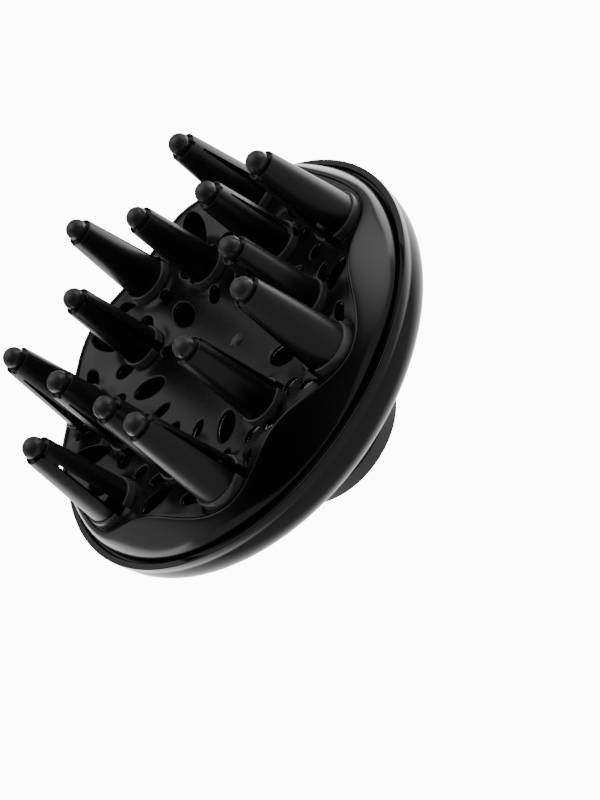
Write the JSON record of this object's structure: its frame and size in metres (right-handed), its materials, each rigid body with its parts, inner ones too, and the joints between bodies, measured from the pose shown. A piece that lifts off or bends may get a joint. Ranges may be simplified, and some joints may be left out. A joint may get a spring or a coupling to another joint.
{
  "type": "hair dryer diffuser",
  "caption": "Bowl-shaped hair dryer diffuser with slotted ball-tipped fingers on a perforated dish and a swivelling push-on collar.",
  "frame": {"origin": "centre of the collar's end face, where the dryer's outlet goes in", "axes": "+Z along the diffuser's axis towards the finger tips; +X towards one outer finger's azimuth"},
  "size_m": [0.1348, 0.1348, 0.0906],
  "materials": {
    "bell": "high gloss black",
    "bezel": "gloss black",
    "plate": "semi-gloss black",
    "finger": "satin black",
    "tip": "gloss black",
    "collar": "gloss black",
    "spring_steel": "plain spring steel",
    "grip": "matt silicone"
  },
  "bodies": {
    "coupling": {"coupling_collar": "collar", "retaining_ring": "spring_steel", "grip_ring": "grip"},
    "head": {"bell_shell": "bell", "front_bezel": "bezel", "dish_plate": "plate", "outer_finger_1": "finger", "outer_finger_2": "finger", "outer_finger_3": "finger", "outer_finger_4": "finger", "outer_finger_5": "finger", "outer_finger_6": "finger", "outer_finger_7": "finger", "inner_finger_1": "finger", "inner_finger_2": "finger", "inner_finger_3": "finger", "inner_finger_4": "finger", "inner_finger_5": "finger", "inner_finger_6": "finger", "inner_finger_7": "finger", "outer_tip_1": "tip", "outer_tip_2": "tip", "outer_tip_3": "tip", "outer_tip_4": "tip", "outer_tip_5": "tip", "outer_tip_6": "tip", "outer_tip_7": "tip", "inner_tip_1": "tip", "inner_tip_2": "tip", "inner_tip_3": "tip", "inner_tip_4": "tip", "inner_tip_5": "tip", "inner_tip_6": "tip", "inner_tip_7": "tip"}
  },
  "joints": [
    {"name": "head_swivel", "type": "hinge", "parent": "coupling", "child": "head", "pos_m": [0, 0, 0.01], "axis": [0, 0, 1], "continuous": true}
  ]
}
